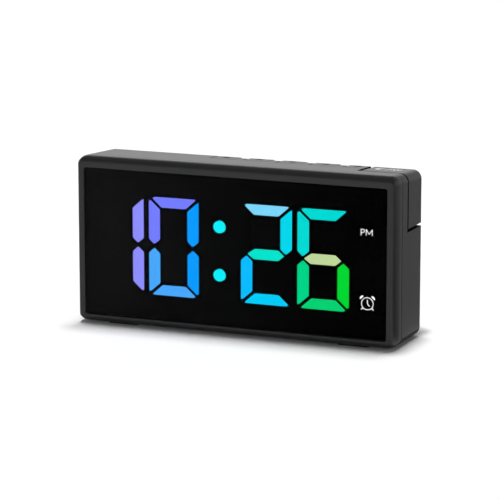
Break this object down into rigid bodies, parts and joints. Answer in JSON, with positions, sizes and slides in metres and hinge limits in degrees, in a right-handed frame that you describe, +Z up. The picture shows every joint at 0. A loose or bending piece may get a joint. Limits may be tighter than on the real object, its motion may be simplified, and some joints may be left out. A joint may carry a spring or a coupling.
{
  "type": "digital clock",
  "caption": "Small free-standing box clock with a dark display window, colour segment digits, a row of top keys and a snooze key wrapped round one corner.",
  "frame": {"origin": "centre of the footprint, on the plane of the feet's undersides", "axes": "+X to the right as seen from the front, +Y from the display towards the rear, +Z up"},
  "size_m": [0.14, 0.0312, 0.0703],
  "materials": {
    "black_abs": "fine spark texture",
    "black_abs_keys": "fine spark texture",
    "zinc_steel": "zinc plated",
    "black_rubber": "matt",
    "smoked_acrylic": "polished",
    "black_tape": "matt",
    "mask_film": "matt black print",
    "reflector_plastic": "matt black face",
    "violet_guide": "lit violet",
    "blue_guide": "lit blue",
    "cyan_guide": "lit cyan",
    "turquoise_guide": "lit turquoise",
    "green_guide": "lit green",
    "white_guide": "lit white",
    "led_package": "moulded",
    "green_laminate": "solder resist",
    "chip_epoxy": "moulded",
    "connector_nylon": "moulded",
    "tin_can": "tinned",
    "can_aluminium": "satin",
    "cell_steel": "nickel plated",
    "ribbon_film": "flexible flat cable",
    "switch_plastic": "moulded",
    "plunger_plastic": "moulded"
  },
  "bodies": {
    "clock": {"alarm_mark": "white_guide", "buzzer": "chip_epoxy", "capacitors": "can_aluminium", "case_screws": "zinc_steel", "cell_base": "connector_nylon", "cell_clip": "tin_can", "cell_spring": "tin_can", "clock_chip": "chip_epoxy", "coin_cell": "cell_steel", "colon_dots": "cyan_guide", "crystal": "tin_can", "display_board": "green_laminate", "display_board_screws": "zinc_steel", "display_window": "smoked_acrylic", "front_frame": "black_abs", "hour_tens_segments": "violet_guide", "hour_units_segments": "blue_guide", "key_board": "green_laminate", "key_board_screws": "zinc_steel", "key_ribbon": "ribbon_film", "key_switches": "switch_plastic", "led_driver_chips": "chip_epoxy", "link_pins": "connector_nylon", "link_socket": "connector_nylon", "main_board": "green_laminate", "main_board_screws": "zinc_steel", "minute_tens_segments": "turquoise_guide", "minute_units_segments": "green_guide", "pm_mark": "white_guide", "power_socket": "tin_can", "power_socket_tongue": "connector_nylon", "rear_housing": "black_abs", "rubber_feet": "black_rubber", "segment_leds": "led_package", "segment_mask": "mask_film", "segment_reflector": "reflector_plastic", "snooze_switch": "switch_plastic", "window_tape": "black_tape"},
    "set_key": {"set_key": "black_abs_keys", "set_plunger": "plunger_plastic"},
    "up_key": {"up_key": "black_abs_keys", "up_plunger": "plunger_plastic"},
    "down_key": {"down_key": "black_abs_keys", "down_plunger": "plunger_plastic"},
    "alarm_key": {"alarm_key": "black_abs_keys", "alarm_plunger": "plunger_plastic"},
    "light_key": {"light_key": "black_abs_keys", "light_plunger": "plunger_plastic"},
    "snooze_key": {"snooze_key": "black_abs_keys", "snooze_plunger": "plunger_plastic"},
    "battery_door": {"battery_door": "black_abs"}
  },
  "joints": [
    {"name": "set_key_press", "type": "slide", "parent": "clock", "child": "set_key", "axis": [0, 0, -1], "range_m": [0, 0.0005], "stiffness_N_per_m": 400},
    {"name": "up_key_press", "type": "slide", "parent": "clock", "child": "up_key", "axis": [0, 0, -1], "range_m": [0, 0.0005], "stiffness_N_per_m": 400},
    {"name": "down_key_press", "type": "slide", "parent": "clock", "child": "down_key", "axis": [0, 0, -1], "range_m": [0, 0.0005], "stiffness_N_per_m": 400},
    {"name": "alarm_key_press", "type": "slide", "parent": "clock", "child": "alarm_key", "axis": [0, 0, -1], "range_m": [0, 0.0005], "stiffness_N_per_m": 400},
    {"name": "light_key_press", "type": "slide", "parent": "clock", "child": "light_key", "axis": [0, 0, -1], "range_m": [0, 0.0005], "stiffness_N_per_m": 400},
    {"name": "snooze_key_press", "type": "slide", "parent": "clock", "child": "snooze_key", "axis": [0, 0, -1], "range_m": [0, 0.0008], "stiffness_N_per_m": 500},
    {"name": "battery_door_turn", "type": "hinge", "parent": "clock", "child": "battery_door", "pos_m": [-0.0317, 0.0145, 0.0279], "axis": [0, 1, 0], "range_deg": [0, 45]}
  ]
}
